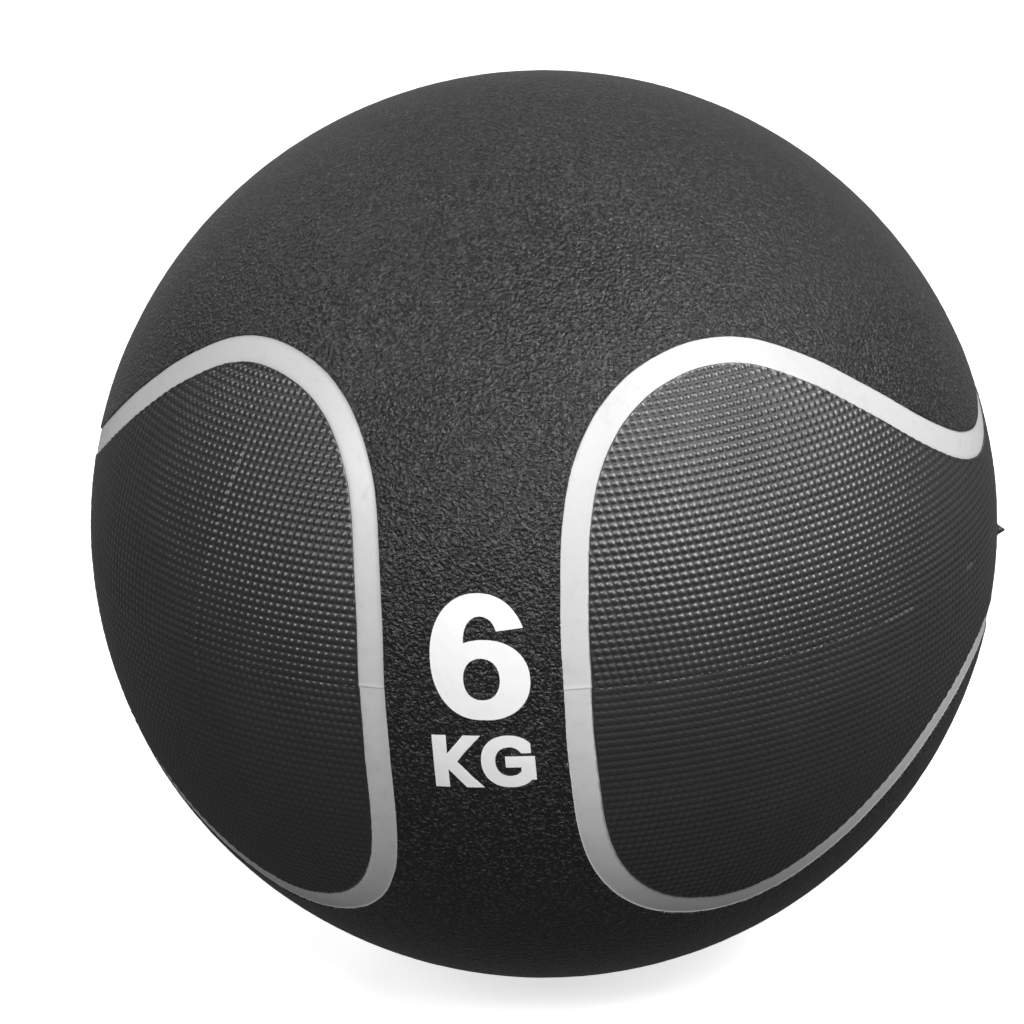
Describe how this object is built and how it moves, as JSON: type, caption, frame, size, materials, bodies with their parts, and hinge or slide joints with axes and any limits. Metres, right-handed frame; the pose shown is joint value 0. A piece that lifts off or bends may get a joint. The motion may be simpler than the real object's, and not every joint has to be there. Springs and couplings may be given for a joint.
{
  "type": "medicine ball",
  "caption": "Air-filled rubber medicine ball with grained black covers, recessed silver-grey bands, knurled grip panels and a needle valve.",
  "frame": {"origin": "centre of the ball", "axes": "+Z along the mould axis through both poles, away from the valve; the parting line is in the XY plane; the front web with the weight mark faces -Y"},
  "size_m": [0.23, 0.2301, 0.2299],
  "materials": {
    "cover_rubber": "leather-grained black rubber, semi-matt",
    "grip_rubber": "fine knurl of round beads, satin",
    "band_rubber": "smooth silver-grey rubber, satin",
    "print_ink": "white printed film",
    "filled_rubber": "dense mineral-filled rubber, matt",
    "butyl_rubber": "smooth butyl rubber",
    "valve_rubber": "smooth soft rubber",
    "nylon_thread": "wound nylon thread"
  },
  "bodies": {
    "root": {"bladder": "butyl_rubber", "winding": "nylon_thread", "wall_upper": "filled_rubber", "wall_lower": "filled_rubber", "cover_upper": "cover_rubber", "cover_lower": "cover_rubber", "band_right_upper": "band_rubber", "band_right_lower": "band_rubber", "band_left_upper": "band_rubber", "band_left_lower": "band_rubber", "grip_right_upper": "grip_rubber", "grip_right_lower": "grip_rubber", "grip_left_upper": "grip_rubber", "grip_left_lower": "grip_rubber", "valve_seat": "butyl_rubber", "valve_plug": "valve_rubber", "weight_mark": "print_ink"}
  },
  "joints": []
}
